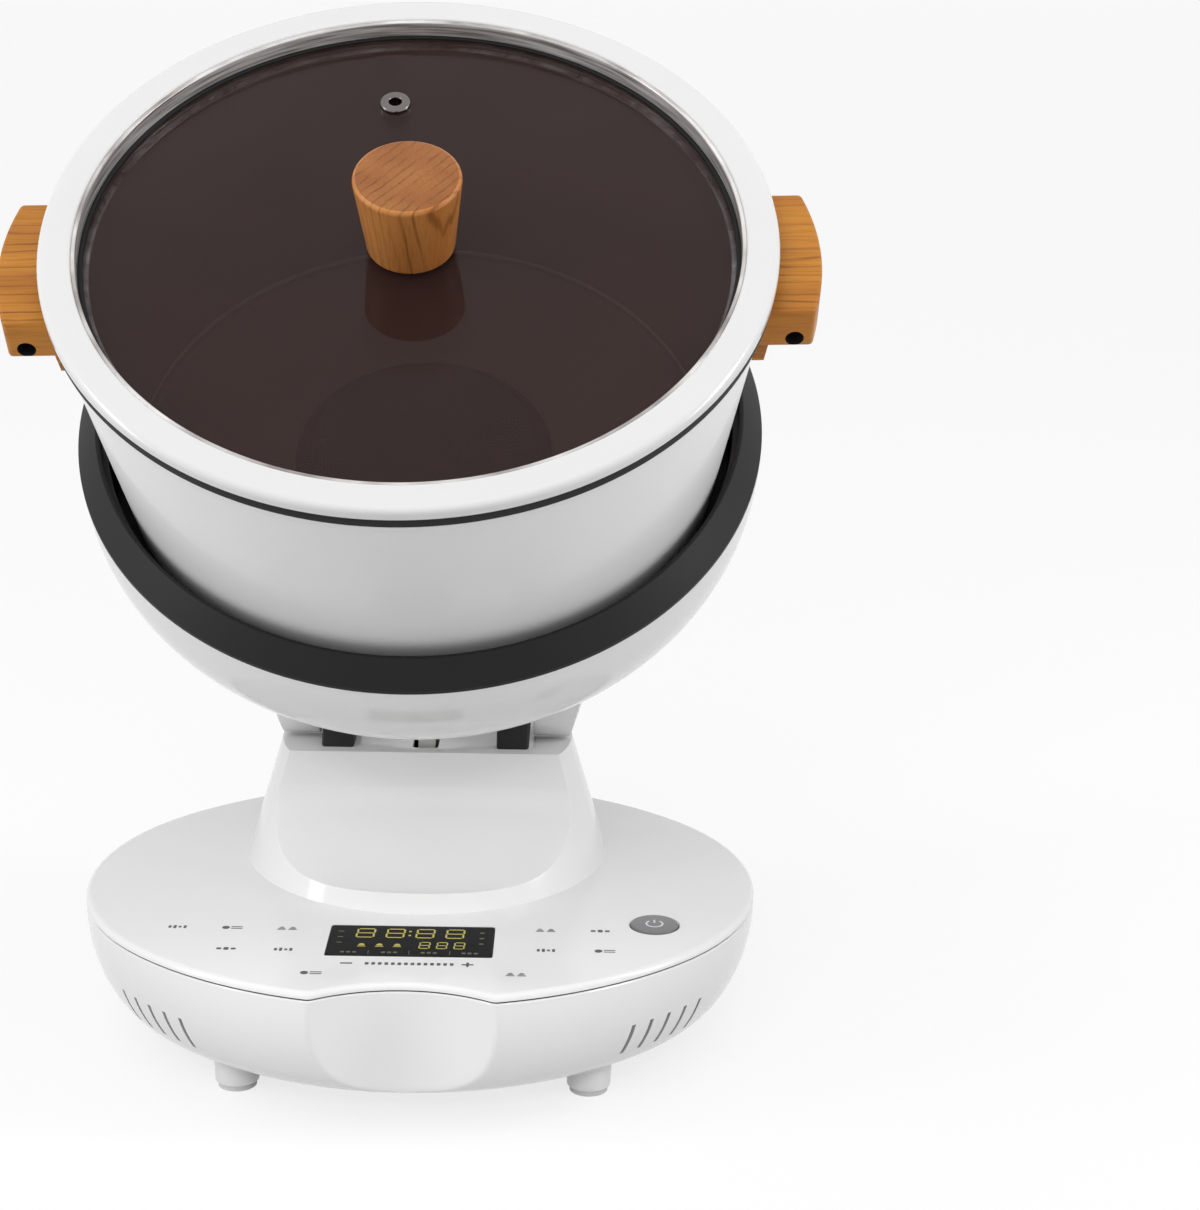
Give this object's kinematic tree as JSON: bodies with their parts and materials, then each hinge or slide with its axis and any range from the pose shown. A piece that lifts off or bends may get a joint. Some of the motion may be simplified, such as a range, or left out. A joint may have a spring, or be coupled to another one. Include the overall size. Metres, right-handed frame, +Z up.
{
  "type": "automatic_cooking_machine",
  "caption": "Countertop automatic cooking machine: a lidded pot spins in a forward-leaning heating bowl that tilts on a pedestal above an oval control base",
  "frame": {"origin": "on the counter, under the middle of the machine's outline seen from above", "axes": "+X to the right as seen from the front, +Y to the back, +Z up; the front faces -Y"},
  "size_m": [0.3364, 0.3264, 0.4653],
  "materials": {
    "white_gloss": "gloss white moulding",
    "black_satin": "satin black moulding",
    "grey_button": "pale grey button",
    "display_black": "gloss black window",
    "steel": "plain steel",
    "bright_steel": "polished steel",
    "pot_coat": "pale enamel on a cast pot",
    "smoked_glass": "smoked toughened glass",
    "knob_wood": "oiled beech",
    "handle_wood": "oiled acacia",
    "rubber_black": "black silicone",
    "rubber_pale": "pale grey silicone",
    "board": "circuit board",
    "copper": "lacquered copper winding",
    "mica": "mica board",
    "bronze": "sintered bronze",
    "nylon": "natural nylon gear",
    "alloy": "pressed aluminium"
  },
  "bodies": {
    "base": {"base_shell": "white_gloss", "deck": "white_gloss", "feet": "white_gloss", "foot_pads": "rubber_pale", "base_screws": "steel", "display_window": "display_black", "touch_board": "board", "display_module": "black_satin", "power_switch": "board", "power_board": "board", "board_parts": "black_satin", "fan_frame": "black_satin", "mains_inlet": "black_satin", "inlet_pins": "bronze", "pedestal": "white_gloss", "pedestal_screws": "steel", "hinge_bracket_left": "black_satin", "hinge_bracket_right": "black_satin", "hinge_bushes": "bronze", "bracket_screws": "steel", "motor_mount": "steel", "tilt_gearbox": "alloy", "tilt_motor": "steel"},
    "pinion": {"tilt_pinion": "nylon"},
    "fan": {"fan_rotor": "black_satin"},
    "button": {"power_button": "grey_button"},
    "bowl": {"bowl_shell": "white_gloss", "collar": "black_satin", "bowl_liner": "alloy", "collar_screws": "steel", "neck": "white_gloss", "neck_screws": "steel", "tilt_shaft": "steel", "tilt_sector": "nylon", "coil_tray": "black_satin", "heating_coil": "copper", "mica_sheet": "mica", "temp_sensor": "white_gloss", "spin_motor": "alloy", "hub_bush": "bronze"},
    "rotor": {"drive_hub": "black_satin", "hub_shaft": "steel"},
    "pot_body": {"pot": "pot_coat", "pot_coupling": "steel", "handle_left": "handle_wood", "handle_right": "handle_wood", "handle_brackets": "steel", "handle_screws": "steel"},
    "lid": {"lid_rim": "white_gloss", "lid_band": "bright_steel", "lid_gasket": "rubber_black", "lid_glass": "smoked_glass", "glass_seal": "rubber_black", "vent_grommet": "bright_steel", "lid_knob": "knob_wood", "knob_washer": "bright_steel", "knob_screw": "steel"}
  },
  "joints": [
    {"name": "bowl_tilt", "type": "hinge", "parent": "base", "child": "bowl", "pos_m": [0, 0.05927, 0.144], "axis": [1, 0, 0], "range_deg": [-21, 36]},
    {"name": "pinion_turn", "type": "hinge", "parent": "base", "child": "pinion", "pos_m": [0, 0.06861, 0.11835], "axis": [1, 0, 0], "range_deg": [-130, 80]},
    {"name": "fan_spin", "type": "hinge", "parent": "base", "child": "fan", "pos_m": [-0.045, 0.05527, 0.03], "axis": [0, 0, 1], "continuous": true},
    {"name": "power_press", "type": "slide", "parent": "base", "child": "button", "axis": [0, 0, -1], "range_m": [0, 0.0012], "stiffness_N_per_m": 600, "springref_m": -0.0006},
    {"name": "pot_spin", "type": "hinge", "parent": "bowl", "child": "rotor", "pos_m": [0, 0.03535, 0.2705], "axis": [0, -0.5878, 0.809], "continuous": true},
    {"name": "pot_lift", "type": "slide", "parent": "rotor", "child": "pot_body", "axis": [0, -0.5878, 0.809], "range_m": [0, 0.15]},
    {"name": "lid_lift", "type": "slide", "parent": "pot_body", "child": "lid", "axis": [0, -0.5878, 0.809], "range_m": [0, 0.08]}
  ],
  "couplings": [
    {"joint": "pinion_turn", "follows": "bowl_tilt", "ratio": -3.5}
  ]
}
